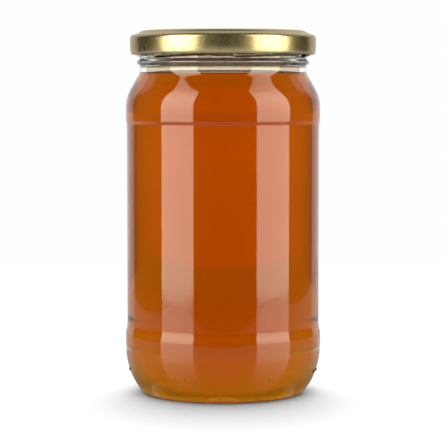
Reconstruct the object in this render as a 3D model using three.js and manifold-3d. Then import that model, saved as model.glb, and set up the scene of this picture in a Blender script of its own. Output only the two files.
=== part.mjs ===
// A one-kilogram honey jar: a round glass jar with a recessed label panel and a six-start twist finish,
// the honey that fills it to the foot of the neck, and a gold twist-off lid.
// Millimetres, +Z up, the origin in the middle of the base where the jar stands.
import * as THREE from "three";
import { mergeVertices } from "three/addons/utils/BufferGeometryUtils.js";
import Module from "manifold-3d";

const wasm = await Module();
wasm.setup();

// How finely the round forms are divided.
const TURN_SEGMENTS = 48;
const CURVE_STEPS = 4;
const STEP_STEPS = 3;
const HEEL_STEPS = 6;
const INNER_HEEL_STEPS = 7;
const THREAD_STEPS = 9;

// Outside of the glass, from the base up. The base is pushed up in the middle and stands on a narrow ring.
const PUNT_HEIGHT = 1.65;
const PUNT_EDGE_HEIGHT = 0.55;
const PUNT_RADIUS = 32.1;
const BEARING_INNER_RADIUS = 33.6;
const BEARING_OUTER_RADIUS = 34.8;
const HEEL_RADIUS = 33;
const HEEL_TOP = 21.3;
const HEEL_FOOT = 1.2;
const LOWER_BAND_RADIUS = 44.7;
const LOWER_STEP_BOTTOM = 27;
const LOWER_STEP_TOP = 31.8;
const PANEL_RADIUS = 44;
const UPPER_STEP_BOTTOM = 122.9;
const UPPER_STEP_TOP = 124.9;
const UPPER_BAND_RADIUS = 44.4;
const SHOULDER_FOOT = 130.5;
const SHOULDER_RADIUS = 17;
const SHOULDER_SLOPE = THREE.MathUtils.degToRad(30);
const NECK_FILLET = 7;
const NECK_RADIUS = 37.9;
const BEAD_BOTTOM = 148.9;
const BEAD_CREST = 150.9;
const BEAD_TOP = 152.9;
const BEAD_RADIUS = 39.4;
const FINISH_RADIUS = 38.15;
const RIM_HEIGHT = 164.3;
const RIM_ROUND = 1.1;

// Inside of the glass. The wall is thickest in the heel, and the floor rises in the middle.
const BODY_WALL = 2.9;
const NECK_BORE_RADIUS = 35.1;
const FLOOR_HEIGHT = 4.3;
const FLOOR_CROWN_HEIGHT = 6.85;
const FLOOR_RADIUS = 8.7;
const INNER_HEEL_RADIUS = 27;

// The six threads of the finish: each climbs to the right as seen from outside and fades out at its top end.
const THREADS = 6;
const THREAD_FIRST = THREE.MathUtils.degToRad(9);
const THREAD_SPAN = THREE.MathUtils.degToRad(66);
const THREAD_CLIMB = 2;
const THREAD_LOW = 153.75;
const THREAD_HALF_HEIGHT = 0.85;
const THREAD_CREST_HALF_HEIGHT = 0.4;
const THREAD_RADIUS = 39.8;
const THREAD_ROOT_RADIUS = 37.2;
const THREAD_FADE = 0.2;
const THREAD_END_RISE = 0.3;

// The honey stands clear of the glass by a hair.
const HONEY_LEVEL = 145;
const HONEY_GAP = 0.3;

// The lid, from its middle outwards and down to the rolled edge.
const LID_SHEET = 0.5;
const LID_BUTTON_RADIUS = 12.5;
const LID_BUTTON_RISE = 0.35;
const LID_BUTTON_FLANK = 1.4;
const LID_PANEL_HEIGHT = 164.2;
const LID_PANEL_RADIUS = 32.6;
const LID_RING_RADIUS = 35.9;
const LID_RING_HALF_WIDTH = 1.2;
const LID_RING_DROP = 0.15;
const LID_TOP = 165.35;
const LID_SHELF_RADIUS = 39;
const LID_SHELF_HEIGHT = 164.05;
const LID_SHOULDER_ROUND = 2;
const LID_SHOULDER_TOP = 163.6;
const LID_RADIUS = 42.35;
const LID_CURL_RADIUS = 0.95;
const LID_CURL_TURN = THREE.MathUtils.degToRad(225);
const LID_BOTTOM = 154.4;

const GLASS_MATERIAL = new THREE.MeshStandardMaterial({
  color: 0xe6efe9,
  roughness: 0.04,
  metalness: 0,
  transparent: true,
  opacity: 0.35,
});
const HONEY_MATERIAL = new THREE.MeshStandardMaterial({ color: 0xb04604, roughness: 0.08, metalness: 0 });
const LID_MATERIAL = new THREE.MeshStandardMaterial({ color: 0xb8a45a, roughness: 0.28, metalness: 1 });

const point = (radius, height) => new THREE.Vector2(radius, height);

// Points along a circular arc of a profile; angles are in radians from the outward radius, towards +Z.
function arc(centre, radius, from, to, steps = CURVE_STEPS) {
  const points = [];
  for (let i = 0; i <= steps; i += 1) {
    const angle = from + ((to - from) * i) / steps;
    points.push(point(centre.x + radius * Math.cos(angle), centre.y + radius * Math.sin(angle)));
  }
  return points;
}

// A soft step between two radii: half a cosine wave from one height to the next.
function softStep(fromRadius, fromHeight, toRadius, toHeight) {
  const points = [];
  for (let i = 0; i <= STEP_STEPS; i += 1) {
    const share = i / STEP_STEPS;
    const eased = (1 - Math.cos(Math.PI * share)) / 2;
    points.push(
      point(
        fromRadius + (toRadius - fromRadius) * eased,
        fromHeight + (toHeight - fromHeight) * share,
      ),
    );
  }
  return points;
}

// A shallow dome from the axis outwards: its height falls with the square of the radius.
function dome(crownHeight, edgeRadius, edgeHeight) {
  const points = [];
  for (let i = 0; i <= STEP_STEPS; i += 1) {
    const share = i / STEP_STEPS;
    points.push(point(edgeRadius * share, crownHeight + (edgeHeight - crownHeight) * share * share));
  }
  return points;
}

// The sloping shoulder between a band and a neck: a convex arc, a straight slope and a concave fillet.
function shoulder(bandRadius, neckRadius, bandRound, neckRound) {
  const convex = arc(point(bandRadius - bandRound, SHOULDER_FOOT), bandRound, 0, SHOULDER_SLOPE);
  const slopeStart = convex[convex.length - 1];
  const slopeEndRadius = neckRadius + neckRound * (1 - Math.cos(SHOULDER_SLOPE));
  const slopeEndHeight = slopeStart.y + (slopeStart.x - slopeEndRadius) / Math.tan(SHOULDER_SLOPE);
  const filletCentre = point(
    neckRadius + neckRound,
    slopeEndHeight + neckRound * Math.sin(SHOULDER_SLOPE),
  );
  const fillet = arc(filletCentre, neckRound, Math.PI + SHOULDER_SLOPE, Math.PI, 2);
  return [...convex, ...fillet];
}

// The heel: a long arc from the lower band, rounded in at its foot to meet the bearing ring.
function heel() {
  const centre = point(LOWER_BAND_RADIUS - HEEL_RADIUS, HEEL_TOP);
  const footAngle = -Math.asin((HEEL_TOP - HEEL_FOOT) / HEEL_RADIUS);
  const side = arc(centre, HEEL_RADIUS, footAngle, 0, HEEL_STEPS);
  const foot = side[0];
  const meeting = point(foot.x + HEEL_FOOT * Math.tan(footAngle), 0);
  const corner = new THREE.QuadraticBezierCurve(point(BEARING_OUTER_RADIUS, 0), meeting, foot);
  return [...corner.getPoints(STEP_STEPS).slice(0, -1), ...side];
}

// The outer side of the glass, from the middle of the base to the outer edge of the rim.
function outerProfile() {
  const rimCentre = point(FINISH_RADIUS - RIM_ROUND, RIM_HEIGHT - RIM_ROUND);
  return [
    ...dome(PUNT_HEIGHT, PUNT_RADIUS, PUNT_EDGE_HEIGHT),
    point(BEARING_INNER_RADIUS, 0),
    ...heel(),
    ...softStep(LOWER_BAND_RADIUS, LOWER_STEP_BOTTOM, PANEL_RADIUS, LOWER_STEP_TOP),
    ...softStep(PANEL_RADIUS, UPPER_STEP_BOTTOM, UPPER_BAND_RADIUS, UPPER_STEP_TOP),
    ...shoulder(UPPER_BAND_RADIUS, NECK_RADIUS, SHOULDER_RADIUS, NECK_FILLET),
    ...softStep(NECK_RADIUS, BEAD_BOTTOM, BEAD_RADIUS, BEAD_CREST),
    ...softStep(BEAD_RADIUS, BEAD_CREST, FINISH_RADIUS, BEAD_TOP).slice(1),
    ...arc(rimCentre, RIM_ROUND, 0, Math.PI / 2, 3),
  ];
}

// The inner side of the glass, from the middle of the floor up to the inner edge of the rim.
function innerProfile() {
  const wallRadius = UPPER_BAND_RADIUS - BODY_WALL;
  const heelCentre = point(wallRadius - INNER_HEEL_RADIUS, FLOOR_HEIGHT + INNER_HEEL_RADIUS);
  const rimCentre = point(NECK_BORE_RADIUS + RIM_ROUND, RIM_HEIGHT - RIM_ROUND);
  return [
    ...dome(FLOOR_CROWN_HEIGHT, FLOOR_RADIUS, FLOOR_HEIGHT),
    ...arc(heelCentre, INNER_HEEL_RADIUS, -Math.PI / 2, 0, INNER_HEEL_STEPS),
    ...shoulder(wallRadius, NECK_BORE_RADIUS, SHOULDER_RADIUS - BODY_WALL, NECK_FILLET + BODY_WALL),
    ...arc(rimCentre, RIM_ROUND, Math.PI, Math.PI / 2, 2),
  ];
}

// A closed mesh as a solid: shared corners are merged and collapsed triangles are dropped.
function solidOf(geometry) {
  const bare = geometry.clone();
  bare.deleteAttribute("normal");
  bare.deleteAttribute("uv");
  const merged = mergeVertices(bare, 1e-4);
  const kept = [];
  const index = merged.index.array;
  for (let i = 0; i < index.length; i += 3) {
    const [a, b, c] = [index[i], index[i + 1], index[i + 2]];
    if (a !== b && b !== c && c !== a) kept.push(a, b, c);
  }
  return new wasm.Manifold(
    new wasm.Mesh({
      numProp: 3,
      vertProperties: new Float32Array(merged.attributes.position.array),
      triVerts: new Uint32Array(kept),
    }),
  );
}

// A solid back as a geometry.
function geometryOf(solid) {
  const mesh = solid.getMesh();
  const geometry = new THREE.BufferGeometry();
  geometry.setAttribute("position", new THREE.BufferAttribute(new Float32Array(mesh.vertProperties), 3));
  geometry.setIndex(new THREE.BufferAttribute(new Uint32Array(mesh.triVerts), 1));
  geometry.computeVertexNormals();
  return geometry;
}

// A profile of radius and height turned round the upright axis.
function turned(profile) {
  const geometry = new THREE.LatheGeometry(profile, TURN_SEGMENTS);
  geometry.rotateX(Math.PI / 2);
  return solidOf(geometry);
}

// One thread: a low trapezoid carried up the finish, its root sunk in the wall.
function thread(startAngle) {
  const positions = [];
  const index = [];
  const corners = 4;
  for (let i = 0; i <= THREAD_STEPS; i += 1) {
    const share = i / THREAD_STEPS;
    const angle = startAngle + THREAD_SPAN * share;
    const height = THREAD_LOW + THREAD_CLIMB * share;
    const rise = Math.min(1, (1 - share) / THREAD_FADE + THREAD_END_RISE);
    const crest = FINISH_RADIUS + (THREAD_RADIUS - FINISH_RADIUS) * rise;
    const section = [
      point(THREAD_ROOT_RADIUS, height - THREAD_HALF_HEIGHT),
      point(crest, height - THREAD_CREST_HALF_HEIGHT),
      point(crest, height + THREAD_CREST_HALF_HEIGHT),
      point(THREAD_ROOT_RADIUS, height + THREAD_HALF_HEIGHT),
    ];
    for (const corner of section) {
      positions.push(corner.x * Math.sin(angle), -corner.x * Math.cos(angle), corner.y);
    }
  }
  for (let i = 0; i < THREAD_STEPS; i += 1) {
    for (let j = 0; j < corners; j += 1) {
      const a = i * corners + j;
      const b = i * corners + ((j + 1) % corners);
      index.push(a, a + corners, b, b, a + corners, b + corners);
    }
  }
  const last = THREAD_STEPS * corners;
  index.push(0, 1, 2, 0, 2, 3);
  index.push(last, last + 2, last + 1, last, last + 3, last + 2);
  const geometry = new THREE.BufferGeometry();
  geometry.setAttribute("position", new THREE.Float32BufferAttribute(positions, 3));
  geometry.setIndex(index);
  return solidOf(geometry);
}

function glassJar() {
  let solid = turned([...outerProfile(), ...innerProfile().reverse()]);
  for (let i = 0; i < THREADS; i += 1) {
    solid = solid.add(thread(THREAD_FIRST + (i * 2 * Math.PI) / THREADS));
  }
  return solid;
}

// The honey follows the inner side of the glass, a hair inside it, up to its level surface.
function honey() {
  const inner = innerProfile();
  const side = inner.map((here, i) => {
    const before = inner[Math.max(i - 1, 0)];
    const after = inner[Math.min(i + 1, inner.length - 1)];
    const along = point(after.x - before.x, after.y - before.y).normalize();
    return point(here.x - along.y * HONEY_GAP, here.y + along.x * HONEY_GAP);
  });
  side[0].x = 0;
  const above = side.findIndex((p) => p.y > HONEY_LEVEL);
  const [low, high] = [side[above - 1], side[above]];
  const share = (HONEY_LEVEL - low.y) / (high.y - low.y);
  const edge = point(low.x + (high.x - low.x) * share, HONEY_LEVEL);
  return turned([...side.slice(0, above), edge, point(0, HONEY_LEVEL)]);
}

// The lid is one sheet: a low button, a panel, a raised ring, a shelf and a skirt with a rolled edge.
function lid() {
  const curl = point(LID_RADIUS - LID_CURL_RADIUS, LID_BOTTOM + LID_CURL_RADIUS);
  const shoulderCentre = point(LID_RADIUS - LID_SHOULDER_ROUND, LID_SHOULDER_TOP - LID_SHOULDER_ROUND);
  const top = [
    point(0, LID_PANEL_HEIGHT + LID_BUTTON_RISE),
    point(LID_BUTTON_RADIUS, LID_PANEL_HEIGHT + LID_BUTTON_RISE),
    point(LID_BUTTON_RADIUS + LID_BUTTON_FLANK, LID_PANEL_HEIGHT),
    point(LID_PANEL_RADIUS, LID_PANEL_HEIGHT),
    point(LID_RING_RADIUS - LID_RING_HALF_WIDTH, LID_TOP - LID_RING_DROP),
    point(LID_RING_RADIUS, LID_TOP),
    point(LID_RING_RADIUS + LID_RING_HALF_WIDTH, LID_TOP - LID_RING_DROP),
    point(LID_SHELF_RADIUS, LID_SHELF_HEIGHT),
  ];
  const outside = [
    ...top,
    ...arc(shoulderCentre, LID_SHOULDER_ROUND, Math.PI / 2, 0),
    ...arc(curl, LID_CURL_RADIUS, 0, -LID_CURL_TURN, 5),
  ];
  const inside = [
    ...top.map((p) => point(p.x, p.y - LID_SHEET)),
    ...arc(shoulderCentre, LID_SHOULDER_ROUND - LID_SHEET, Math.PI / 2, 0, 2),
    point(LID_RADIUS - LID_SHEET, curl.y + LID_CURL_RADIUS),
  ];
  return turned([...inside, ...outside.reverse()]);
}

// A solid as a named mesh of the part.
function named(name, solid, material) {
  const mesh = new THREE.Mesh(geometryOf(solid), material);
  mesh.name = name;
  return mesh;
}

const jar = new THREE.Group();
jar.name = "honey_jar";
jar.add(named("glass_jar", glassJar(), GLASS_MATERIAL));
jar.add(named("honey", honey(), HONEY_MATERIAL));
jar.add(named("lid", lid(), LID_MATERIAL));

export default jar;
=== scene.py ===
"""A one-kilogram honey jar: clear moulded glass, amber honey and a gold twist-off lid.

Every surface is a profile of radius and height turned round the upright axis on a grid of
numpy points, with the threads, the heel's small dots and the ring's notches as relief on it.
Sizes are in metres and angles in degrees, +Z is up, the jar stands on z = 0 and the camera looks
along +Y.
"""

import logging
import math
from dataclasses import dataclass, field
from enum import Enum
from typing import List, Optional, Sequence, Tuple

import bpy
import numpy as np
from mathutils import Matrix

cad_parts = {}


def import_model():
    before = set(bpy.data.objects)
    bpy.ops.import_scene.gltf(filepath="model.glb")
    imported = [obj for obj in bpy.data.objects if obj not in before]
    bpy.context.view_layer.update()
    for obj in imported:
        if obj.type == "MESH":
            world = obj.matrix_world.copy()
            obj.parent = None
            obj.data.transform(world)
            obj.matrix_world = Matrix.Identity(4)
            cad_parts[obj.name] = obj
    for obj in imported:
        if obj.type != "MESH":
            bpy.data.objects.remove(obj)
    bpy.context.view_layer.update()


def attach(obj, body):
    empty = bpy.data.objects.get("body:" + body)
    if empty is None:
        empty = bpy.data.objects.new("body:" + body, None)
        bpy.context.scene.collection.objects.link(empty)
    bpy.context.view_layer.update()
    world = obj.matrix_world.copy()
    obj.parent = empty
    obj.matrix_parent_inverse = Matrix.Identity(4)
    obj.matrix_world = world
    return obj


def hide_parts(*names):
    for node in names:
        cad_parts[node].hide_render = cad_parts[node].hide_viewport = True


LOG = logging.getLogger("honey_jar")

MM = 0.001
PHOTO_SIDE = 446
SENSOR_WIDTH = 36.0
# Watts that a square metre of a rectangular light needs for a brightness of 1.
WATTS_PER_RADIANCE = 4.0

Profile = np.ndarray
Point = Tuple[float, float]
Curve = Tuple[Point, ...]
Colour = Tuple[float, float, float]
Socket = bpy.types.NodeSocket

WHITE: Colour = (1.0, 1.0, 1.0)
BLACK: Colour = (0.0, 0.0, 0.0)


class Slot(Enum):
    """The record's material slots."""

    GLASS = "glass"
    HONEY = "honey"
    LID = "lid_gold"


# Profiles


def smooth(share: np.ndarray) -> np.ndarray:
    """Three times the square less twice the cube, which is level at 0 and at 1."""
    return share * share * (3.0 - 2.0 * share)


def half_wave(share: np.ndarray) -> np.ndarray:
    """Half a cosine wave, from 0 at 0 to 1 at 1."""
    return (1.0 - np.cos(np.pi * share)) / 2.0


def arc(centre: Point, radius: float, start: float, end: float, steps: int) -> Profile:
    """Points on a circle: the centre plus the radius times the cosine and sine of an angle.

    Args:
        centre: Radius and height of the circle's centre.
        radius: The circle's radius.
        start: First angle, from the outward radius towards +Z.
        end: Last angle.
        steps: Number of steps between the two.

    Returns:
        An array of radius and height, one row for each point.
    """
    angles = np.radians(np.linspace(start, end, steps + 1))
    return np.column_stack([centre[0] + radius * np.cos(angles), centre[1] + radius * np.sin(angles)])


def line(start: Point, end: Point, steps: int) -> Profile:
    """Points at equal distances on the straight line between two points.

    Args:
        start: First point.
        end: Last point.
        steps: Number of steps.

    Returns:
        An array of radius and height.
    """
    share = np.linspace(0.0, 1.0, steps + 1)[:, None]
    return np.array(start) + share * (np.array(end) - np.array(start))


def straight(start: Point, end: Point, margin: float = 0.25 * MM) -> Profile:
    """A straight line with one more point close to each end, which keeps its smooth shading flat.

    Args:
        start: First point.
        end: Last point.
        margin: How far the two extra points are from the ends.

    Returns:
        Four points of radius and height.
    """
    whole = np.array(end) - np.array(start)
    near = margin / float(np.linalg.norm(whole))
    share = np.array([0.0, near, 1.0 - near, 1.0])[:, None]
    return np.array(start) + share * whole


def soft_step(start: Point, end: Point, steps: int) -> Profile:
    """A step between two radii: the radius follows half a cosine wave while the height is linear.

    Args:
        start: First point.
        end: Last point.
        steps: Number of steps.

    Returns:
        An array of radius and height.
    """
    share = np.linspace(0.0, 1.0, steps + 1)
    radius = start[0] + (end[0] - start[0]) * half_wave(share)
    height = start[1] + (end[1] - start[1]) * share
    return np.column_stack([radius, height])


def dome(crown: float, edge: Point, steps: int) -> Profile:
    """A shallow dome from the axis outwards: the height falls with the square of the radius.

    Args:
        crown: Height on the axis.
        edge: Radius and height of the dome's edge.
        steps: Number of steps.

    Returns:
        An array of radius and height that starts on the axis.
    """
    share = np.linspace(0.0, 1.0, steps + 1)
    return np.column_stack([edge[0] * share, crown + (edge[1] - crown) * share**2])


def bezier(start: Point, middle: Point, end: Point, steps: int) -> Profile:
    """A quadratic curve: start, middle and end weighted by (1-t) squared, 2t(1-t) and t squared.

    Args:
        start: First point.
        middle: The point that the curve bends towards.
        end: Last point.
        steps: Number of steps.

    Returns:
        An array of radius and height.
    """
    t = np.linspace(0.0, 1.0, steps + 1)[:, None]
    return (1 - t) ** 2 * np.array(start) + 2 * t * (1 - t) * np.array(middle) + t**2 * np.array(end)


def spline(points: Sequence[Point], steps: int) -> Profile:
    """A smooth curve through points: between two of them a cubic whose end slopes are half the
    difference of the neighbours on either side.

    Args:
        points: The points that the curve passes through.
        steps: Number of steps between two points.

    Returns:
        An array of radius and height.
    """
    known = np.array(points)
    slopes = np.gradient(known, axis=0)
    t = np.linspace(0.0, 1.0, steps + 1)[:-1, None]
    rise = smooth(t)
    leaving = t**3 - 2 * t**2 + t
    arriving = t**3 - t**2
    pieces = [
        (1 - rise) * here + leaving * slope_here + rise * there + arriving * slope_there
        for here, there, slope_here, slope_there in zip(known[:-1], known[1:], slopes[:-1], slopes[1:])
    ]
    return np.vstack(pieces + [known[-1:]])


def joined(*parts: Profile, least: float = 0.0001 * MM) -> Profile:
    """The parts one after another, with points that repeat the one before them left out.

    Args:
        parts: Profiles in order.
        least: The least distance between two points.

    Returns:
        One profile.
    """
    whole = np.vstack(parts)
    moved = np.linalg.norm(np.diff(whole, axis=0), axis=1) > least
    return whole[np.concatenate([[True], moved])]


def offset(profile: Profile, distance: float) -> Profile:
    """The profile moved sideways, to the right of its own direction.

    Args:
        profile: Radius and height.
        distance: How far, in metres.

    Returns:
        An array of the same length.
    """
    along = np.gradient(profile, axis=0)
    along = along / np.linalg.norm(along, axis=1)[:, None]
    moved = profile + distance * np.column_stack([along[:, 1], -along[:, 0]])
    moved[profile[:, 0] == 0.0, 0] = 0.0
    return moved


def turned(profile: Profile, angles: np.ndarray) -> np.ndarray:
    """A profile turned round the axis: x is the radius times the sine of the angle, y is minus
    the radius times its cosine, so that angle 0 faces the camera.

    Args:
        profile: Radius and height of each row, or an array of them for each column too.
        angles: The columns' angles in radians.

    Returns:
        Points as rows by columns by three.
    """
    radius, height = profile[..., 0], profile[..., 1]
    if profile.ndim == 2:
        radius = np.repeat(radius[:, None], len(angles), axis=1)
        height = np.repeat(height[:, None], len(angles), axis=1)
    return np.stack([radius * np.sin(angles), -radius * np.cos(angles), height], axis=-1)


def closed_mesh(name: str, points: np.ndarray, row_slots: Optional[np.ndarray] = None) -> bpy.types.Mesh:
    """A mesh from a grid that closes round the axis, with a pole at each end.

    Args:
        name: The mesh's name.
        points: Rows by columns by three; the first and the last row lie on the axis.
        row_slots: The material index of each band between two rows.

    Returns:
        The mesh, smooth, with its faces pointing outwards.
    """
    rows, columns = points.shape[:2]
    inner = points[1:-1].reshape(-1, 3)
    vertices = np.vstack([points[0].mean(0), inner, points[-1].mean(0)])
    here = 1 + np.arange((rows - 2) * columns).reshape(rows - 2, columns)
    right = np.roll(here, -1, axis=1)
    quads = np.stack([here[:-1], right[:-1], right[1:], here[1:]], axis=-1).reshape(-1, 4)
    first = np.stack([np.zeros(columns, int), right[0], here[0]], axis=-1)
    last = np.stack([np.full(columns, len(vertices) - 1), here[-1], right[-1]], axis=-1)
    loops = np.concatenate([quads.ravel(), first.ravel(), last.ravel()])
    counts = np.concatenate([np.full(len(quads), 4), np.full(2 * columns, 3)])
    mesh = bpy.data.meshes.new(name)
    mesh.vertices.add(len(vertices))
    mesh.vertices.foreach_set("co", vertices.astype(np.float32).ravel())
    mesh.loops.add(len(loops))
    mesh.loops.foreach_set("vertex_index", loops.astype(np.int32))
    mesh.polygons.add(len(counts))
    starts = np.concatenate([[0], np.cumsum(counts)[:-1]])
    mesh.polygons.foreach_set("loop_start", starts.astype(np.int32))
    mesh.polygons.foreach_set("use_smooth", np.ones(len(counts), bool))
    if row_slots is not None:
        bands = np.repeat(row_slots[1:-1], columns)
        ends = np.repeat(row_slots[[0, -1]], columns)
        mesh.polygons.foreach_set("material_index", np.concatenate([bands, ends]).astype(np.int32))
    mesh.update(calc_edges=True)
    mesh.validate()
    return mesh


# Materials


def opaque(colour: Colour) -> Tuple[float, ...]:
    """A colour with an alpha of 1."""
    return (*colour, 1.0)


class Blend(Enum):
    """What a Mix node mixes: its data type, and how the names of its sockets end."""

    NUMBERS = ("FLOAT", "Float")
    COLOURS = ("RGBA", "Color")


class Nodes:
    """A node tree that is written as short calls."""

    def __init__(self, tree: bpy.types.NodeTree) -> None:
        """Starts an empty tree."""
        self.tree = tree
        tree.nodes.clear()

    def add(self, kind: str, **settings: object) -> bpy.types.Node:
        """A new node.

        Args:
            kind: The node's kind, which is its type's name after ShaderNode.
            settings: The node's own properties.

        Returns:
            The node.
        """
        node = self.tree.nodes.new("ShaderNode" + kind)
        for name, value in settings.items():
            setattr(node, name, value)
        return node

    def feed(self, socket: Socket, value: object) -> None:
        """Links a socket to another one, or sets it.

        Args:
            socket: The input.
            value: The other socket, or a number or a colour.
        """
        if isinstance(value, bpy.types.NodeSocket):
            self.tree.links.new(value, socket)
        else:
            socket.default_value = value

    def set(self, node: bpy.types.Node, **inputs: object) -> bpy.types.Node:
        """Feeds a node's inputs.

        Args:
            node: The node.
            inputs: A value for each input's name, with an underscore for a space.

        Returns:
            The node.
        """
        for name, value in inputs.items():
            self.feed(node.inputs[name.replace("_", " ")], value)
        return node

    def math(self, operation: str, *values: object) -> Socket:
        """One step of arithmetic.

        Args:
            operation: The Math node's operation.
            values: Its numbers or sockets, in order.

        Returns:
            The result's socket.
        """
        node = self.add("Math", operation=operation)
        for socket, value in zip(node.inputs, values):
            self.feed(socket, value)
        return node.outputs[0]

    def length(self, first: Socket, second: Socket) -> Socket:
        """The root of the sum of two squares."""
        squares = self.math("ADD", self.math("POWER", first, 2.0), self.math("POWER", second, 2.0))
        return self.math("SQRT", squares)

    def axes(self, vector: Socket) -> List[Socket]:
        """A vector's parts along X, Y and Z."""
        split = self.set(self.add("SeparateXYZ"), Vector=vector)
        return [split.outputs[axis] for axis in "XYZ"]

    def curve(self, value: Socket, points: Sequence[Point]) -> Socket:
        """A piecewise straight function of a value, level before its first corner and past its last.

        Args:
            value: The argument.
            points: Argument and result of each corner, in order.

        Returns:
            The result's socket.
        """
        low, high = points[0][0], points[-1][0]
        top = max(result for _, result in points)
        ramp = self.add("ValToRGB")
        elements = ramp.color_ramp.elements
        while len(elements) < len(points):
            elements.new(0.5)
        for element, (argument, result) in zip(elements, points):
            element.position = (argument - low) / (high - low)
            element.color = opaque((result / top, result / top, result / top))
        self.set(ramp, Fac=self.math("DIVIDE", self.math("SUBTRACT", value, low), high - low))
        return self.math("MULTIPLY", ramp.outputs["Color"], top)

    def noise(self, scale: float, detail: float) -> Socket:
        """Soft noise over the object's own coordinates, about 0.5 on average."""
        place = self.add("TexCoord").outputs["Object"]
        return self.set(self.add("TexNoise"), Vector=place, Scale=scale, Detail=detail).outputs["Fac"]

    def bump(self, height: Socket, strength: float, distance: float = MM) -> Socket:
        """The normal of a surface that a height bends."""
        node = self.set(self.add("Bump"), Strength=strength, Distance=distance, Height=height)
        return node.outputs["Normal"]

    def remap(self, value: Socket, known: Point, wanted: Point) -> Socket:
        """A value moved from one range to another and kept within it.

        Args:
            value: The value.
            known: The two ends of its range.
            wanted: What the two ends become.

        Returns:
            The result's socket.
        """
        node = self.add("MapRange")
        self.set(node, Value=value, From_Min=known[0], From_Max=known[1], To_Min=wanted[0], To_Max=wanted[1])
        return node.outputs["Result"]

    def absorb(self, tint: Colour, density: float) -> Socket:
        """A clear volume that takes up what its tint lacks."""
        node = self.set(self.add("VolumeAbsorption"), Color=opaque(tint), Density=density)
        return node.outputs["Volume"]

    def mix(self, what: Blend, share: Socket, first: object, second: object) -> Socket:
        """Two numbers or two colours mixed.

        Args:
            what: Numbers or colours.
            share: How much of the second there is, from 0 to 1.
            first: The first number or colour.
            second: The second one.

        Returns:
            The result's socket.
        """
        data_type, ending = what.value
        node = self.add("Mix", data_type=data_type)
        sockets = {socket.identifier: socket for socket in node.inputs}
        for name, value in (("Factor_Float", share), ("A_" + ending, first), ("B_" + ending, second)):
            self.feed(sockets[name], value)
        return next(socket for socket in node.outputs if socket.identifier == "Result_" + ending)

    def mix_shader(self, share: Socket, first: Socket, second: Socket) -> Socket:
        """Two shaders mixed.

        Args:
            share: How much of the second there is, from 0 to 1.
            first: The first shader.
            second: The second shader.

        Returns:
            The result's socket.
        """
        node = self.add("MixShader")
        for socket, value in zip(node.inputs, (share, first, second)):
            self.feed(socket, value)
        return node.outputs[0]


def new_material(name: str) -> Tuple[bpy.types.Material, Nodes, bpy.types.Node, bpy.types.Node]:
    """A material with a Principled shader and its output.

    Args:
        name: The material's name.

    Returns:
        The material, its nodes, the Principled shader and the output node.
    """
    material = bpy.data.materials.new(name)
    material.use_nodes = True
    nodes = Nodes(material.node_tree)
    shader = nodes.add("BsdfPrincipled")
    output = nodes.add("OutputMaterial")
    nodes.set(output, Surface=shader.outputs["BSDF"])
    return material, nodes, shader, output


class Side(Enum):
    """The kinds of glass surface, by their material index."""

    CLEAR = 0
    WETTED = 1
    FILMED = 2


@dataclass(frozen=True)
class GlassFinish:
    """Clear moulded glass with faint waves in its skin. Its wetted side doesn't mirror the honey,
    and above the honey the inside of the neck keeps a thin film of it."""

    index: float = 1.52
    tint: Colour = (0.80, 0.93, 0.84)
    density: float = 2.0
    wave_scale: float = 60.0
    wave_detail: float = 1.0
    wave_depth: float = 0.02
    wave_range: Point = (0.35, 0.75)
    roughness: Point = (0.0, 0.012)
    film: Colour = (0.74, 0.57, 0.34)
    thin_film: Colour = (0.84, 0.7, 0.5)

    def material(self, side: Side) -> bpy.types.Material:
        """The glass's material.

        Args:
            side: The kind of surface.

        Returns:
            The material.
        """
        material, nodes, shader, output = new_material("glass_" + side.name.lower())
        waves = nodes.noise(self.wave_scale, self.wave_detail)
        nodes.set(shader, Base_Color=opaque(WHITE), Metallic=0.0, IOR=self.index,
                  Transmission_Weight=1.0, Roughness=0.0)
        if side is Side.WETTED:
            shader.inputs["Specular Tint"].default_value = opaque(BLACK)
        else:
            nodes.set(shader, Roughness=nodes.remap(waves, self.wave_range, self.roughness),
                      Normal=nodes.bump(waves, self.wave_depth))
        if side is Side.FILMED:
            film = nodes.mix(Blend.COLOURS, waves, opaque(self.film), opaque(self.thin_film))
            nodes.set(shader, Base_Color=film)
        nodes.set(output, Volume=nodes.absorb(self.tint, self.density))
        return material


@dataclass(frozen=True)
class HoneyFinish:
    """Clear liquid honey: each colour fades with the depth that light crosses, blue the fastest."""

    index: float = 1.49
    tint: Colour = (0.9216, 0.716, 0.0)
    density: float = 115.0
    ripple_scale: float = 35.0
    ripple_detail: float = 1.0
    ripple_depth: float = 0.05

    def material(self, free_surface: bool) -> bpy.types.Material:
        """The honey's material.

        Args:
            free_surface: Whether it is the level top, and not the side on the glass.

        Returns:
            The material.
        """
        name = "honey_surface" if free_surface else "honey_side"
        material, nodes, shader, output = new_material(name)
        nodes.set(shader, Base_Color=opaque(WHITE), Metallic=0.0, Roughness=0.0, IOR=self.index,
                  Transmission_Weight=1.0)
        if free_surface:
            ripple = nodes.noise(self.ripple_scale, self.ripple_detail)
            nodes.set(shader, Normal=nodes.bump(ripple, self.ripple_depth))
        else:
            shader.inputs["Specular Tint"].default_value = opaque(BLACK)
        nodes.set(output, Volume=nodes.absorb(self.tint, self.density))
        return material


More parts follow.
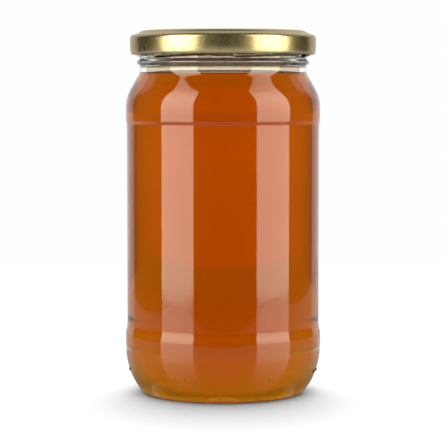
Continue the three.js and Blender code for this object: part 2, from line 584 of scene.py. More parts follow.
@dataclass(frozen=True)
class GoldFinish:
    """Gold lacquer on tinplate: a satin metal whose colour and gloss vary a little, darker where it
    is seen along its face, below a thin clear coat."""

    colour: Colour = (0.52, 0.42, 0.2)
    shade: Colour = (0.5, 0.4, 0.185)
    grazing: Colour = (0.6, 0.56, 0.42)
    metal: float = 0.93
    gloss: Point = (0.26, 0.29)
    cloud_scale: float = 45.0
    cloud_detail: float = 3.0
    grain_scale: float = 300.0
    grain_detail: float = 2.0
    grain_range: Point = (0.3, 0.7)
    grain_strength: float = 0.0004
    grain_height: float = 0.2 * MM
    coat: float = 0.5
    coat_index: float = 1.65

    def material(self) -> bpy.types.Material:
        """The lid's material.

        Returns:
            The material.
        """
        material, nodes, shader, _ = new_material("lid_gold")
        cloud = nodes.noise(self.cloud_scale, self.cloud_detail)
        grain = nodes.noise(self.grain_scale, self.grain_detail)
        gold = nodes.mix(Blend.COLOURS, cloud, opaque(self.shade), opaque(self.colour))
        nodes.set(shader, Base_Color=gold, Metallic=self.metal, Specular_Tint=opaque(self.grazing),
                  Roughness=nodes.remap(grain, self.grain_range, self.gloss),
                  Normal=nodes.bump(grain, self.grain_strength, self.grain_height),
                  Coat_Weight=self.coat, Coat_IOR=self.coat_index, Coat_Roughness=self.gloss[0])
        return material


# The jar


@dataclass
class Shoulder:
    """A shoulder between a band and a neck: a convex arc, a nearly straight slope that steepens a
    little on its way up, and a concave fillet."""

    band_radius: float
    neck_radius: float
    band_round: float
    neck_round: float
    foot: float = 130.5 * MM
    low_slope: float = 28.5
    high_slope: float = 30.5

    def profile(self, round_steps: int, slope_steps: int, fillet_steps: int) -> Profile:
        """The shoulder's points, from the band up to the neck. The slope is an arc whose radius
        is the width that is left over the difference of its two end cosines.

        Args:
            round_steps: Steps of the convex arc.
            slope_steps: Steps of the slope.
            fillet_steps: Steps of the concave fillet.

        Returns:
            An array of radius and height.
        """
        low, high = math.radians(self.low_slope), math.radians(self.high_slope)
        round_centre = (self.band_radius - self.band_round, self.foot)
        convex = arc(round_centre, self.band_round, 0, self.low_slope, round_steps)
        start = convex[-1]
        end_radius = self.neck_radius + self.neck_round * (1 - math.cos(high))
        bend = (start[0] - end_radius) / (math.cos(low) - math.cos(high))
        middle = (start[0] - bend * math.cos(low), start[1] - bend * math.sin(low))
        slope = arc(middle, bend, self.low_slope, self.high_slope, slope_steps)
        centre = (self.neck_radius + self.neck_round, slope[-1, 1] + self.neck_round * math.sin(high))
        fillet = arc(centre, self.neck_round, 180 + self.high_slope, 180, fillet_steps)
        return joined(convex, slope, fillet)


@dataclass
class Threads:
    """The six threads of the finish: low ridges that climb to the right and fade at their top end."""

    count: int = 6
    first: float = 9.0
    span: float = 66.0
    climb: float = 2.0 * MM
    low: float = 153.75 * MM
    half_height: float = 0.95 * MM
    crest_half_height: float = 0.3 * MM
    rise: float = 1.65 * MM
    blunt: float = 1.2
    fade: float = 0.2
    end_rise: float = 0.3

    def starts(self) -> np.ndarray:
        """The angles where the threads begin."""
        return self.first + np.arange(self.count) * 360.0 / self.count

    def relief(self, degrees: np.ndarray, height: np.ndarray) -> np.ndarray:
        """How far the threads stand proud: a trapezoid in height, rounded by a smooth step, that
        follows a line climbing with the angle; it begins bluntly and fades over its last part.

        Args:
            degrees: Angles of the columns.
            height: Heights of the rows and columns.

        Returns:
            The rise over the finish, in metres.
        """
        total = np.zeros_like(height)
        for start in self.starts():
            turn = (degrees - start + self.blunt) % 360.0 - self.blunt
            share = turn / self.span
            inside = np.clip(turn / self.blunt + 1.0, 0.0, 1.0) * (share <= 1.0)
            faded = np.clip((1.0 - share) / self.fade + self.end_rise, 0.0, 1.0)
            last = np.clip((1.0 - share) * self.span / self.blunt, 0.0, 1.0)
            middle = self.low + self.climb * share
            flank = (self.half_height - np.abs(height - middle)) / (self.half_height - self.crest_half_height)
            across = smooth(np.clip(flank, 0.0, 1.0))
            total = np.maximum(total, self.rise * across * inside * faded * last)
        return total


@dataclass
class HeelDots:
    """The mould's small round dots on the heel, on a grid of 49 places round the jar."""

    places: int = 49
    first: float = -15.2
    taken: Tuple[int, ...] = (-9, -2, -1, 0, 6, 12, 13, 16, 17, 19, 33, 34, 36)
    height: float = 11.0 * MM
    half_width: float = 0.55 * MM
    half_height: float = 0.8 * MM
    rise: float = 0.6 * MM
    fine_rows: float = 0.9 * MM
    rows_below: float = 1.1 * MM
    rows_above: float = 1.2 * MM

    def angles(self) -> np.ndarray:
        """The dots' angles."""
        return self.first + np.array(self.taken) * 360.0 / self.places

    def relief(self, degrees: np.ndarray, height: np.ndarray, heel_radius: float) -> np.ndarray:
        """Domes: the rise falls with the square of the distance from each dot's middle.

        Args:
            degrees: Angles of the columns.
            height: Heights of the rows and columns.
            heel_radius: The heel's radius at the dots.

        Returns:
            The rise over the heel, in metres.
        """
        total = np.zeros_like(height)
        for angle in self.angles():
            aside = np.radians((degrees - angle + 180.0) % 360.0 - 180.0) * heel_radius
            distance = np.hypot(aside / self.half_width, (height - self.height) / self.half_height)
            total = total + self.rise * np.clip(1.0 - distance**2, 0.0, 1.0)
        return total


@dataclass
class RingNotches:
    """The fine notches across the bearing ring that the jar stands on."""

    count: int = 62
    depth: float = 0.28 * MM
    inner: float = 33.4 * MM
    outer: float = 36.2 * MM
    blur: float = 0.5 * MM
    top: float = 3.0 * MM
    share: float = 0.45
    inward: float = 0.5

    def relief(self, degrees: np.ndarray, radius: np.ndarray, height: np.ndarray) -> np.ndarray:
        """How far the ring is cut in: a smooth pulse round the axis, within the ring's width.

        Args:
            degrees: Angles of the columns.
            radius: Radii of the rows and columns.
            height: Heights of the rows and columns.

        Returns:
            The depth of the cut, in metres.
        """
        wave = (1.0 + np.cos(np.radians(degrees) * self.count)) / 2.0
        pulse = smooth(np.clip((wave - 1.0 + self.share) / self.share, 0.0, 1.0))
        from_inner = np.clip((radius - self.inner) / self.blur, 0.0, 1.0)
        from_outer = np.clip((self.outer - radius) / self.blur, 0.0, 1.0)
        return self.depth * pulse * from_inner * from_outer * (height < self.top)


@dataclass
class Glass:
    """The glass jar: one closed shell with its base, heel, bands, shoulder, bead and threads."""

    punt_height: float = 1.65 * MM
    punt_edge: Point = (32.1 * MM, 0.55 * MM)
    ring_inner: float = 33.6 * MM
    ring_outer: float = 34.8 * MM
    heel_radius: float = 33.0 * MM
    heel_top: float = 21.3 * MM
    heel_foot: float = 1.2 * MM
    lower_band: float = 44.7 * MM
    lower_step: Tuple[float, float] = (27.0 * MM, 31.8 * MM)
    panel: float = 44.0 * MM
    upper_step: Tuple[float, float] = (122.9 * MM, 124.9 * MM)
    upper_band: float = 44.4 * MM
    shoulder_round: float = 17.0 * MM
    neck: float = 37.9 * MM
    neck_fillet: float = 7.0 * MM
    bead_bottom: float = 148.9 * MM
    bead_crest: Point = (39.4 * MM, 150.9 * MM)
    bead_top: float = 152.9 * MM
    finish: float = 38.15 * MM
    threads_top: float = 158.5 * MM
    rim_height: float = 164.3 * MM
    rim_round: float = 1.1 * MM
    wall: float = 2.9 * MM
    bore: float = 35.1 * MM
    bore_foot: float = 150.5 * MM
    floor_height: float = 4.3 * MM
    floor_crown: float = 6.85 * MM
    floor_radius: float = 8.7 * MM
    inner_heel: float = 27.0 * MM
    wet_height: float = 145.9 * MM
    base_columns: int = 310
    dot_columns: float = 5.0
    dot_spread: float = 0.55
    fine_steps: int = 36000
    columns: int = 400
    threads: Threads = field(default_factory=Threads)
    dots: HeelDots = field(default_factory=HeelDots)
    notches: RingNotches = field(default_factory=RingNotches)
    finish_look: GlassFinish = field(default_factory=GlassFinish)

    def heel_at(self, height: np.ndarray) -> np.ndarray:
        """The heel's radius at a height: its circle's centre plus the root that Pythagoras gives."""
        across = np.sqrt(self.heel_radius**2 - (self.heel_top - height) ** 2)
        return self.lower_band - self.heel_radius + across

    def heel(self) -> Profile:
        """The heel from the bearing ring up to the lower band, with fine rows at the dots. Between
        the ring and the heel is a quadratic curve that bends towards the place where the heel's
        tangent meets the table.

        Returns:
            An array of radius and height.
        """
        dots = self.dots
        rows = np.concatenate([
            np.linspace(self.heel_foot, dots.height - dots.rows_below, num=8),
            np.linspace(dots.height - dots.fine_rows, dots.height + dots.fine_rows, num=12),
            np.linspace(dots.height + dots.rows_above, self.heel_top, num=9),
        ])
        side = np.column_stack([self.heel_at(rows), rows])
        foot_angle = math.asin((self.heel_top - self.heel_foot) / self.heel_radius)
        meeting = (side[0, 0] - self.heel_foot * math.tan(foot_angle), 0.0)
        corner = bezier((self.ring_outer, 0.0), meeting, tuple(side[0]), steps=8)
        return joined(corner, side)

    def outer(self) -> Profile:
        """The outside, from the middle of the base to the top of the rim.

        Returns:
            An array of radius and height.
        """
        shoulder = Shoulder(self.upper_band, self.neck, self.shoulder_round, self.neck_fillet)
        rim = (self.finish - self.rim_round, self.rim_height - self.rim_round)
        return joined(
            dome(self.punt_height, self.punt_edge, steps=8),
            soft_step(self.punt_edge, (self.ring_inner, 0.0), steps=3),
            line((self.ring_inner, 0.0), (self.ring_outer, 0.0), steps=3),
            self.heel(),
            soft_step((self.lower_band, self.lower_step[0]), (self.panel, self.lower_step[1]), steps=9),
            straight((self.panel, self.lower_step[1]), (self.panel, self.upper_step[0])),
            soft_step((self.panel, self.upper_step[0]), (self.upper_band, self.upper_step[1]), steps=8),
            shoulder.profile(round_steps=9, slope_steps=5, fillet_steps=7),
            soft_step((self.neck, self.bead_bottom), self.bead_crest, steps=7),
            soft_step(self.bead_crest, (self.finish, self.bead_top), steps=7),
            line((self.finish, self.bead_top), (self.finish, self.threads_top), steps=20),
            straight((self.finish, self.threads_top), (self.finish, rim[1])),
            arc(rim, self.rim_round, 0, 90, steps=5),
        )

    def inner(self) -> Profile:
        """The inside, from the middle of the floor up to the top of the rim.

        Returns:
            An array of radius and height.
        """
        radius = self.upper_band - self.wall
        heel = (radius - self.inner_heel, self.floor_height + self.inner_heel)
        rim = (self.bore + self.rim_round, self.rim_height - self.rim_round)
        shoulder = Shoulder(radius, self.bore, self.shoulder_round - self.wall, self.neck_fillet + self.wall)
        return joined(
            dome(self.floor_crown, (self.floor_radius, self.floor_height), steps=10),
            straight((self.floor_radius, self.floor_height), (heel[0], self.floor_height)),
            arc(heel, self.inner_heel, -90, 0, steps=28),
            straight((radius, heel[1]), (radius, shoulder.foot)),
            shoulder.profile(round_steps=9, slope_steps=5, fillet_steps=9),
            straight((self.bore, self.bore_foot), (self.bore, rim[1])),
            arc(rim, self.rim_round, 180, 90, steps=4),
        )

    def split_at(self, profile: Profile, height: float) -> Profile:
        """The profile with one more row where it passes a height.

        Args:
            profile: A profile whose height only rises there.
            height: The height of the new row.

        Returns:
            The longer profile.
        """
        above = int(np.argmax(profile[:, 1] > height))
        low, high = profile[above - 1], profile[above]
        share = (height - low[1]) / (high[1] - low[1])
        return np.insert(profile, above, low + share * (high - low), axis=0)

    def angles(self) -> np.ndarray:
        """The columns' angles, closer together at each dot and each thread's blunt end: the density is
        a constant plus a bell curve at each place, and its running sum is inverted.

        Returns:
            The angles in order.
        """
        fine = np.linspace(-180.0, 180.0, self.fine_steps + 1)
        density = np.full(fine.shape, self.base_columns / 360.0)
        for place in np.concatenate([self.dots.angles(), self.threads.starts() - self.threads.blunt / 2]):
            away = (fine - place + 180.0) % 360.0 - 180.0
            density = density + self.dot_columns * np.exp(-((away / self.dot_spread) ** 2))
        running = np.concatenate([[0.0], np.cumsum((density[1:] + density[:-1]) / 2.0)])
        wanted = np.linspace(0.0, running[-1], self.columns + 1)[:-1]
        return np.interp(wanted, running, fine)

    def surface(self) -> Tuple[np.ndarray, np.ndarray]:
        """The whole shell on its grid.

        Returns:
            The points, and the material index of each band of rows.
        """
        outside = self.outer()
        inside = self.split_at(self.inner(), self.wet_height)[::-1]
        rows = joined(outside, inside)
        degrees = self.angles()
        radius = np.repeat(rows[:, :1], len(degrees), axis=1)
        height = np.repeat(rows[:, 1:], len(degrees), axis=1)
        is_outside = (np.arange(len(rows)) < len(outside))[:, None]
        swell = self.threads.relief(degrees, height) * is_outside
        heel_radius = float(self.heel_at(np.array(self.dots.height)))
        dots = self.dots.relief(degrees, height, heel_radius) * is_outside
        cut = self.notches.relief(degrees, radius, height) * is_outside
        tilt = math.asin((self.heel_top - self.dots.height) / self.heel_radius)
        pulled_in = self.notches.inward * cut * (radius > self.ring_outer)
        radius = radius + swell + dots * math.cos(tilt) - pulled_in
        height = height - dots * math.sin(tilt) + cut
        points = turned(np.stack([radius, height], axis=-1), np.radians(degrees))
        band_height = (rows[1:, 1] + rows[:-1, 1]) / 2.0
        inner = np.arange(len(rows) - 1) >= len(outside)
        kinds = np.where(band_height < self.wet_height, Side.WETTED.value, Side.FILMED.value)
        return points, np.where(inner, kinds, Side.CLEAR.value)

    def build(self) -> bpy.types.Object:
        """The glass as an object that stands for its solid.

        Returns:
            The object.
        """
        points, bands = self.surface()
        mesh = closed_mesh("glass", points, bands)
        for side in Side:
            mesh.materials.append(self.finish_look.material(side))
        return dressed(mesh, "glass_jar")


@dataclass
class Honey:
    """The honey: it follows the inside of the glass, a hair into the wall, up to its level."""

    jar: Glass
    level: float = 144.9 * MM
    into_wall: float = 0.15 * MM
    climb: float = 1.0 * MM
    climb_width: float = 1.1 * MM
    climb_reach: float = 5.0
    climb_steps: int = 15
    inner_row: float = 0.4
    hair: float = 0.000001 * MM
    columns: int = 240
    finish_look: HoneyFinish = field(default_factory=HoneyFinish)

    def build(self) -> bpy.types.Object:
        """The honey as an object that stands for its solid: the jar's inside moved a little into the
        wall, and a level top that climbs the glass by an exponential of the distance from it.

        Returns:
            The object.
        """
        inside = self.jar.split_at(self.jar.inner(), self.level + self.climb)
        below = inside[inside[:, 1] <= self.level + self.climb + self.hair]
        side = offset(below, self.into_wall)
        edge = side[-1]
        bend = np.linspace(0.0, self.climb_reach, self.climb_steps + 1)[1:] * self.climb_width
        away = np.concatenate([bend, [self.inner_row * edge[0], edge[0]]])
        top = np.column_stack([edge[0] - away, self.level + self.climb * np.exp(-away / self.climb_width)])
        top[-1, 0] = 0.0
        profile = np.vstack([side, top])
        points = turned(profile, np.linspace(0.0, 2.0 * np.pi, self.columns, endpoint=False))
        bands = (np.arange(len(profile) - 1) >= len(side) - 1).astype(int)
        mesh = closed_mesh("honey", points, bands)
        mesh.materials.append(self.finish_look.material(False))
        mesh.materials.append(self.finish_look.material(True))
        return dressed(mesh, "honey")


@dataclass
class Lid:
    """The twist-off lid: one sheet with a button, a panel, a raised ring, a skirt and a rolled edge."""

    sheet: float = 0.5 * MM
    button_radius: float = 12.5 * MM
    button_rise: float = 0.35 * MM
    button_flank: float = 1.4 * MM
    flank_steps: int = 8
    panel_height: float = 164.2 * MM
    panel_radius: float = 32.6 * MM
    ring_radius: float = 35.9 * MM
    ring_half_width: float = 1.2 * MM
    ring_drop: float = 0.15 * MM
    top: float = 165.35 * MM
    shelf: Point = (39.0 * MM, 164.05 * MM)
    shoulder_round: float = 2.0 * MM
    shoulder_top: float = 163.6 * MM
    radius: float = 42.35 * MM
    curl_radius: float = 1.2 * MM
    curl_turn: float = 225.0
    tuck_height: float = 3.4 * MM
    tuck_angle: float = 9.0
    bottom: float = 154.4 * MM
    columns: int = 300
    finish_look: GoldFinish = field(default_factory=GoldFinish)

    def face(self) -> Profile:
        """The top face from the middle to the shelf: the button's flank is half a cosine wave and the
        ring is a smooth curve that is cut off level at the top.

        Returns:
            An array of radius and height.
        """
        flank = self.button_radius + self.button_flank
        button = self.panel_height + self.button_rise
        ring = [
            (self.panel_radius, self.panel_height),
            (self.ring_radius - self.ring_half_width, self.top - self.ring_drop),
            (self.ring_radius, self.top),
            (self.ring_radius + self.ring_half_width, self.top - self.ring_drop),
            self.shelf,
        ]
        across = np.linspace(0.0, 1.0, self.flank_steps + 1)
        slope = np.column_stack([
            self.button_radius + self.button_flank * across,
            button - self.button_rise * half_wave(across),
        ])
        return joined(
            line((0.0, button), (self.button_radius, button), steps=4),
            slope,
            line((flank, self.panel_height), (self.panel_radius, self.panel_height), steps=6),
            np.minimum(spline(ring, steps=6), (np.inf, self.top)),
        )

    def build(self) -> bpy.types.Object:
        """The lid as an object that stands for its solid. The skirt's foot is tucked in along an arc
        whose radius is the tuck's height over the sine of its angle, and the curl goes on from it.

        Returns:
            The object.
        """
        face = self.face()
        centre = (self.radius - self.shoulder_round, self.shoulder_top - self.shoulder_round)
        lean = math.radians(self.tuck_angle)
        tuck = self.tuck_height / math.sin(lean)
        meeting = self.radius - tuck * (1.0 - math.cos(lean))
        curl = (meeting - self.curl_radius * math.cos(lean), self.bottom + self.curl_radius)
        tuck_centre = (self.radius - tuck, curl[1] - self.curl_radius * math.sin(lean) + self.tuck_height)
        outside = joined(
            face,
            arc(centre, self.shoulder_round, 90, 0, steps=10),
            straight((self.radius, centre[1]), (self.radius, tuck_centre[1])),
            arc(tuck_centre, tuck, 0, -self.tuck_angle, steps=6),
            arc(curl, self.curl_radius, -self.tuck_angle, -self.curl_turn, steps=18),
        )
        inner_radius = self.radius - self.sheet
        inside = joined(
            np.column_stack([face[:, 0], face[:, 1] - self.sheet]),
            arc(centre, self.shoulder_round - self.sheet, 90, 0, steps=6),
            line((inner_radius, centre[1]), (inner_radius, curl[1] + self.curl_radius), steps=2),
        )
        profile = np.vstack([inside, outside[::-1]])
        points = turned(profile, np.linspace(0.0, 2.0 * np.pi, self.columns, endpoint=False))
        mesh = closed_mesh("lid", points)
        mesh.materials.append(self.finish_look.material())
        return dressed(mesh, "lid")


def dressed(mesh: bpy.types.Mesh, node: str) -> bpy.types.Object:
    """An object for a finished mesh, tied to its body and the node that it stands for.

    Args:
        mesh: The mesh, in place.
        node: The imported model's node.

    Returns:
        The object.
    """
    piece = bpy.data.objects.new(mesh.name, mesh)
    bpy.context.scene.collection.objects.link(piece)
    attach(piece, "root")
    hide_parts(node)
    LOG.info("%s: %d vertices, %d faces", mesh.name, len(mesh.vertices), len(mesh.polygons))
    return piece


# The studio


@dataclass
class Softbox:
    """A tall upright light to one side of the camera, which only reflections see. Its upper corner
    on the camera's side is round, and its glow changes with the height over the table."""

    name: str
    azimuth: float
    width: float
    top: float
    radiance: float
    corner: float
    distance: float = 0.9
    bottom: float = -0.08
    edge: float = 0.02
    colour: Colour = (1.0, 0.945, 0.76)
    glow: Curve = (
        (-0.08, 0.35), (-0.062, 0.4), (-0.054, 0.62), (-0.045, 0.93), (-0.036, 1.0),
        (0.1, 1.0), (0.2, 1.15), (0.45, 1.3), (0.8, 1.1), (1.1, 0.7),
    )
    top_glow: float = 0.5

    def strength(self, nodes: Nodes) -> Socket:
        """The glow at a height, cut off within the edge's width from the outline. At the round
        corner the depth inside the outline is the corner's radius less the distance from its centre.

        Args:
            nodes: The light's nodes.

        Returns:
            The strength's socket.
        """
        tall = self.top - self.bottom
        share_aside, share_up, _ = nodes.axes(nodes.add("NewGeometry").outputs["Parametric"])
        above = nodes.math("MULTIPLY", share_up, tall)
        to_camera = math.copysign(self.width, -self.azimuth)
        aside = nodes.math("MULTIPLY", nodes.math("SUBTRACT", share_aside, 0.5), to_camera)
        past_side = nodes.math("MAXIMUM", nodes.math("SUBTRACT", aside, self.width / 2.0 - self.corner), 0.0)
        past_top = nodes.math("MAXIMUM", nodes.math("SUBTRACT", above, tall - self.corner), 0.0)
        depth = nodes.math("SUBTRACT", self.corner, nodes.length(past_side, past_top))
        inside = nodes.curve(depth, ((0.0, 0.0), (self.edge, 1.0)))
        height = nodes.math("ADD", above, self.bottom)
        return nodes.math("MULTIPLY", inside, nodes.curve(height, (*self.glow, (self.top, self.top_glow))))

    def build(self) -> bpy.types.Object:
        """The light, upright and facing the jar.

        Returns:
            The light's object.
        """
        data = bpy.data.lights.new(self.name, "AREA")
        data.shape = "RECTANGLE"
        data.size = self.width
        data.size_y = self.top - self.bottom
        data.energy = self.radiance * WATTS_PER_RADIANCE * data.size * data.size_y
        data.color = self.colour
        data.use_nodes = True
        nodes = Nodes(data.node_tree)
        emission = nodes.set(nodes.add("Emission"), Strength=self.strength(nodes))
        nodes.set(nodes.add("OutputLight"), Surface=emission.outputs["Emission"])
        light = bpy.data.objects.new(self.name, data)
        angle = math.radians(self.azimuth)
        middle = (self.top + self.bottom) / 2.0
        light.location = (self.distance * math.sin(angle), -self.distance * math.cos(angle), middle)
        light.rotation_euler = (math.radians(90.0), 0.0, angle)
        light.visible_camera = False
        light.visible_diffuse = False
        light.visible_transmission = False
        bpy.context.scene.collection.objects.link(light)
        return light


@dataclass
class Table:
    """The pale table: matt to the eye. Where the jar mirrors it, it is satin with a painted glow, a painted
    reflection of the lit table that painted shadow darkens near the jar. Where the jar bends the
    view down to it, it is bright with painted light, painted orange under the jar for light through
    the honey. A curve gives a brightness for a distance in metres."""

    left: float = -0.365
    right: float = 0.42
    front: float = -0.31
    back: float = 0.63
    corner_radius: float = 0.15
    corner_steps: int = 16
    white: Colour = (0.9, 0.9, 0.9)
    gloss: float = 0.16
    index: float = 1.5
    # Strength of the painted glow that the jar mirrors: an emission, no lamp, painted in place of the lit
    # table.
    mirrored: float = 0.3
    painted_glow_colour: Colour = (1.0, 0.97, 0.93)
    # Painted shadow: the painted glow is a twentieth of full under the jar and reaches full 15 cm from its
    # axis.
    painted_shadow_near_jar: Curve = (
        (0.0, 0.05), (0.045, 0.08), (0.0495, 0.15), (0.0537, 0.24), (0.057, 0.36),
        (0.064, 0.56), (0.075, 0.7), (0.1, 0.88), (0.15, 1.0),
    )
    # The painted glow fades out over the 6 cm behind the table's front edge.
    near_front: Curve = ((0.0, 0.0), (0.06, 1.0))
    # More painted glow where the mirrored ray is longer than 13 to 15 cm, within 14 to 19 cm of the jar's
    # axis.
    painted_far_glow: float = 0.6
    far_rays: Curve = ((0.13, 0.0), (0.15, 1.0))
    around_jar: Curve = ((0.14, 1.0), (0.19, 0.0))
    # Painted light: the brightness that the table glows with where the jar bends the view down to it, rising
    # towards the back.
    through_jar: Curve = ((0.37, 0.95), (0.43, 0.957), (0.5, 0.98), (0.63, 1.05))
    # Painted light under the jar: within 4.2 cm of its axis the glow is painted orange, as if lit through the
    # honey, and it is white by 5 cm.
    painted_honey_light_fade: Curve = ((0.0, 0.0), (0.042, 0.03), (0.05, 1.0))
    painted_honey_light: Colour = (0.5, 0.1, 0.0)

    def build(self) -> bpy.types.Object:
        """The table's top, with its front corners round, and its material.

        Returns:
            The table's object.
        """
        inset = self.corner_radius
        rim = np.vstack([
            arc((self.left + inset, self.front + inset), inset, 180, 270, self.corner_steps),
            arc((self.right - inset, self.front + inset), inset, 270, 360, self.corner_steps),
            [(self.right, self.back), (self.left, self.back)],
        ])
        mesh = bpy.data.meshes.new("table")
        mesh.from_pydata([(x, y, 0.0) for x, y in rim], [], [tuple(range(len(rim)))])
        mesh.materials.append(self.material())
        table = bpy.data.objects.new("table", mesh)
        bpy.context.scene.collection.objects.link(table)
        return table

    def painted_mirrored_glow(self, nodes: Nodes, radius: Socket, north: Socket, ray_length: Socket) -> Socket:
        """How bright the painted glow is that the jar mirrors, a painted reflection of the table: painted
        shadow darkens it near the jar, it fades at the front edge, and it is brighter where the
        mirroring part of the jar is well above the table.

        Args:
            nodes: The table's nodes.
            radius: The distance from the jar's axis.
            north: The distance behind the axis.
            ray_length: The distance from the mirroring surface.

        Returns:
            The strength's socket.
        """
        # Painted glow, darkened by painted shadow near the jar and faded at the front edge.
        near = nodes.curve(radius, self.painted_shadow_near_jar)
        edge = nodes.curve(nodes.math("SUBTRACT", north, self.front), self.near_front)
        shadowed_painted_glow = nodes.math("MULTIPLY", nodes.math("MULTIPLY", near, edge), self.mirrored)
        # Extra painted glow for long mirrored rays close round the jar.
        around = nodes.curve(radius, self.around_jar)
        far = nodes.math("MULTIPLY", nodes.curve(ray_length, self.far_rays), around)
        return nodes.math("ADD", shadowed_painted_glow, nodes.math("MULTIPLY", far, self.painted_far_glow))

    def material(self) -> bpy.types.Material:
        """White that shades softly for the camera, a glow for what the jar bends or mirrors.

        Returns:
            The material.
        """
        material, nodes, shader, output = new_material("table")
        path = nodes.add("LightPath").outputs
        nodes.set(shader, Base_Color=opaque(BLACK), Roughness=self.gloss, IOR=self.index)
        matt = nodes.set(nodes.add("BsdfDiffuse"), Color=opaque(self.white))
        east, north, _ = nodes.axes(nodes.add("TexCoord").outputs["Object"])
        radius = nodes.length(east, north)
        # Where the jar mirrors the table it shows an emission: a painted glow with painted shadow near the
        # jar.
        glow = nodes.set(nodes.add("Emission"), Color=opaque(self.painted_glow_colour),
                         Strength=self.painted_mirrored_glow(nodes, radius, north, path["Ray Length"]))
        satin = nodes.add("AddShader")
        nodes.feed(satin.inputs[0], shader.outputs["BSDF"])
        nodes.feed(satin.inputs[1], glow.outputs["Emission"])
        # Where the jar bends the view down, the table glows as painted light, painted orange under the jar
        # for light through the honey.
        clear = nodes.curve(radius, self.painted_honey_light_fade)
        bent = nodes.set(nodes.add("Emission"), Strength=nodes.curve(north, self.through_jar),
                         Color=nodes.mix(Blend.COLOURS, clear, opaque(self.painted_honey_light), opaque(WHITE)))
        mirrored = nodes.mix_shader(path["Is Glossy Ray"], matt.outputs["BSDF"], satin.outputs["Shader"])
        seen = nodes.mix_shader(path["Is Transmission Ray"], mirrored, bent.outputs["Emission"])
        nodes.set(output, Surface=seen)
        return material


class Way:
    """A ray's direction, as sockets: its parts to the east and the north, its elevation, its
    bearing from straight behind the jar, and the bearing's angle from the line of view."""

    def __init__(self, nodes: Nodes) -> None:
        """Reads the direction; the angles are in degrees.

        Args:
            nodes: The world's nodes.
        """
        self.east, self.north, up = nodes.axes(nodes.add("TexCoord").outputs["Generated"])
        self.elevation = nodes.math("DEGREES", nodes.math("ARCSINE", up))
        bearing = nodes.math("ARCTAN2", self.east, self.north)
        self.bearing = nodes.math("DEGREES", nodes.math("ABSOLUTE", bearing))
        from_side = nodes.math("ABSOLUTE", nodes.math("SUBTRACT", self.bearing, 90.0))
        self.from_view = nodes.math("SUBTRACT", 90.0, from_side)


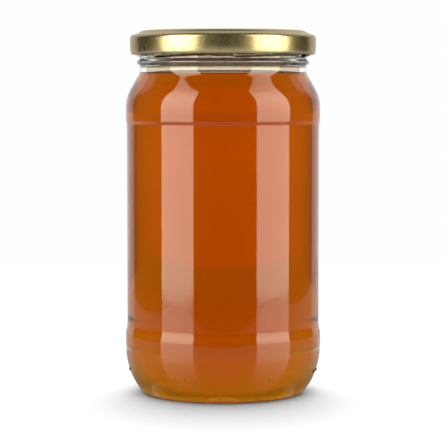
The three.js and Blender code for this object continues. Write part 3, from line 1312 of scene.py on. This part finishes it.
@dataclass
class Studio:
    """The white studio round the jar: a backdrop, a dark front, a table and two softboxes. A curve
    gives a brightness for an elevation, a bearing or an angle from the line of view in degrees."""

    backdrop: float = 0.992
    table_light: float = 2.42
    table_light_behind: float = 0.72
    table_light_beside: float = 0.93
    bent_heights: Curve = (
        (-5.2, 1.07), (-3.4, 1.09), (-2.0, 1.16), (0.0, 1.0), (3.4, 0.957),
        (7.9, 0.924), (9.8, 0.884), (11.7, 0.87), (13.7, 0.82), (14.6, 0.77),
        (15.1, 0.74), (15.6, 0.72), (17.5, 0.72), (22.0, 0.98), (30.0, 1.1),
    )
    bent_sides: Curve = (
        (30.0, 1.0), (32.0, 0.95), (37.6, 0.89), (42.5, 0.82), (48.6, 0.73),
        (54.8, 0.55), (57.0, 0.42), (66.0, 0.42), (80.0, 1.0),
    )
    above_horizon: Curve = ((-0.7, 0.0), (-0.2, 1.0))
    back_wall: Curve = ((20.0, 0.94), (46.0, 0.7), (47.0, 0.7), (48.0, 0.0))
    back_wall_heights: Curve = ((45.0, 1.0), (60.0, 0.2))
    side_wall: Curve = ((40.0, 0.0), (48.0, 0.6), (58.0, 0.6), (66.0, 0.0))
    side_wall_heights: Curve = ((15.0, 0.0), (30.0, 1.0), (70.0, 1.0), (80.0, 0.3))
    ceiling: Curve = ((70.0, 0.0), (82.0, 0.25))
    past_table: Curve = ((-13.0, 0.8), (-8.5, 0.0))
    table: Table = field(default_factory=Table)
    softboxes: Sequence[Softbox] = (
        Softbox("softbox_left", azimuth=-54.9, width=0.695, top=1.26, radiance=4.1, corner=0.19),
        Softbox("softbox_right", azimuth=60.9, width=0.735, top=1.375, radiance=3.75, corner=0.2),
    )

    def bent(self, nodes: Nodes, way: Way, diffuse_depth: Socket) -> Socket:
        """What the glass and the honey bend: the brightness of the elevation, dimmer at the sides
        below the horizon, and nothing for light on its way to the table.

        Args:
            nodes: The world's nodes.
            way: The ray's direction.
            diffuse_depth: How many matt surfaces the ray has left.

        Returns:
            The brightness's socket.
        """
        upper = nodes.curve(way.elevation, self.above_horizon)
        sides = nodes.mix(Blend.NUMBERS, upper, nodes.curve(way.from_view, self.bent_sides), 1.0)
        heights = nodes.curve(way.elevation, self.bent_heights)
        to_the_eye = nodes.math("LESS_THAN", diffuse_depth, 0.5)
        return nodes.math("MULTIPLY", nodes.math("MULTIPLY", heights, sides), to_the_eye)

    def mirrored(self, nodes: Nodes, way: Way) -> Socket:
        """What the jar and the lid mirror: the wall behind, the upper side walls, the ceiling and
        the floor past the table; the front stays dark.

        Args:
            nodes: The world's nodes.
            way: The ray's direction.

        Returns:
            The brightness's socket.
        """
        back = nodes.math("MULTIPLY", nodes.curve(way.bearing, self.back_wall),
                          nodes.curve(way.elevation, self.back_wall_heights))
        sides = nodes.math("MULTIPLY", nodes.curve(way.bearing, self.side_wall),
                           nodes.curve(way.elevation, self.side_wall_heights))
        walls = nodes.math("ADD", back, sides)
        upper = nodes.math("MAXIMUM", walls, nodes.curve(way.elevation, self.ceiling))
        return nodes.math("MAXIMUM", upper, nodes.curve(way.elevation, self.past_table))

    def on_table(self, nodes: Nodes, way: Way) -> Socket:
        """What lights the table: more light from behind the jar, less from its two sides.

        Args:
            nodes: The world's nodes.
            way: The ray's direction.

        Returns:
            The brightness's socket.
        """
        behind = nodes.math("MULTIPLY", way.north, self.table_light_behind)
        beside = nodes.math("MULTIPLY", nodes.math("ABSOLUTE", way.east), self.table_light_beside)
        uneven = nodes.math("SUBTRACT", nodes.math("ADD", behind, 1.0), beside)
        return nodes.math("MULTIPLY", uneven, self.table_light)

    def build(self) -> None:
        """Makes the world, as each kind of ray finds it, the lights and the table."""
        world = bpy.data.worlds.new("studio")
        world.use_nodes = True
        world.cycles.sampling_method = "NONE"
        bpy.context.scene.world = world
        nodes = Nodes(world.node_tree)
        path = nodes.add("LightPath").outputs
        way = Way(nodes)
        scattered = self.on_table(nodes, way)
        mirrored = self.mirrored(nodes, way)
        bent = self.bent(nodes, way, path["Diffuse Depth"])
        value = nodes.mix(Blend.NUMBERS, path["Is Glossy Ray"], scattered, mirrored)
        value = nodes.mix(Blend.NUMBERS, path["Is Transmission Ray"], value, bent)
        value = nodes.mix(Blend.NUMBERS, path["Is Camera Ray"], value, self.backdrop)
        background = nodes.set(nodes.add("Background"), Color=opaque(WHITE), Strength=value)
        nodes.set(nodes.add("OutputWorld"), Surface=background.outputs["Background"])
        for softbox in self.softboxes:
            softbox.build()
        self.table.build()


@dataclass
class Viewpoint:
    """The camera: a long lens a little lower than the honey's level, looking slightly down."""

    distance: float = 0.888
    height: float = 0.14105
    pitch: float = 4.09
    focal_pixels: float = 1940.0
    nearest: float = 0.01
    farthest: float = 10.0

    def build(self) -> bpy.types.Object:
        """The camera, set as the scene's own.

        Returns:
            The camera's object.
        """
        data = bpy.data.cameras.new("camera")
        data.sensor_width = SENSOR_WIDTH
        data.lens = self.focal_pixels * SENSOR_WIDTH / PHOTO_SIDE
        data.clip_start = self.nearest
        data.clip_end = self.farthest
        camera = bpy.data.objects.new("camera", data)
        camera.location = (0.0, -self.distance, self.height)
        camera.rotation_euler = (math.radians(90.0 - self.pitch), 0.0, 0.0)
        bpy.context.scene.collection.objects.link(camera)
        bpy.context.scene.camera = camera
        return camera


def main() -> None:
    """Loads the frame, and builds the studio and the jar."""
    logging.basicConfig(level=logging.INFO, format="%(message)s")
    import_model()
    bpy.context.scene.view_settings.view_transform = "Standard"
    Viewpoint().build()
    Studio().build()
    glass = Glass()
    pieces = [glass.build(), Honey(glass).build(), Lid().build()]
    LOG.info("pieces: %s", ", ".join(piece.name for piece in pieces))


if __name__ == "__main__":
    main()
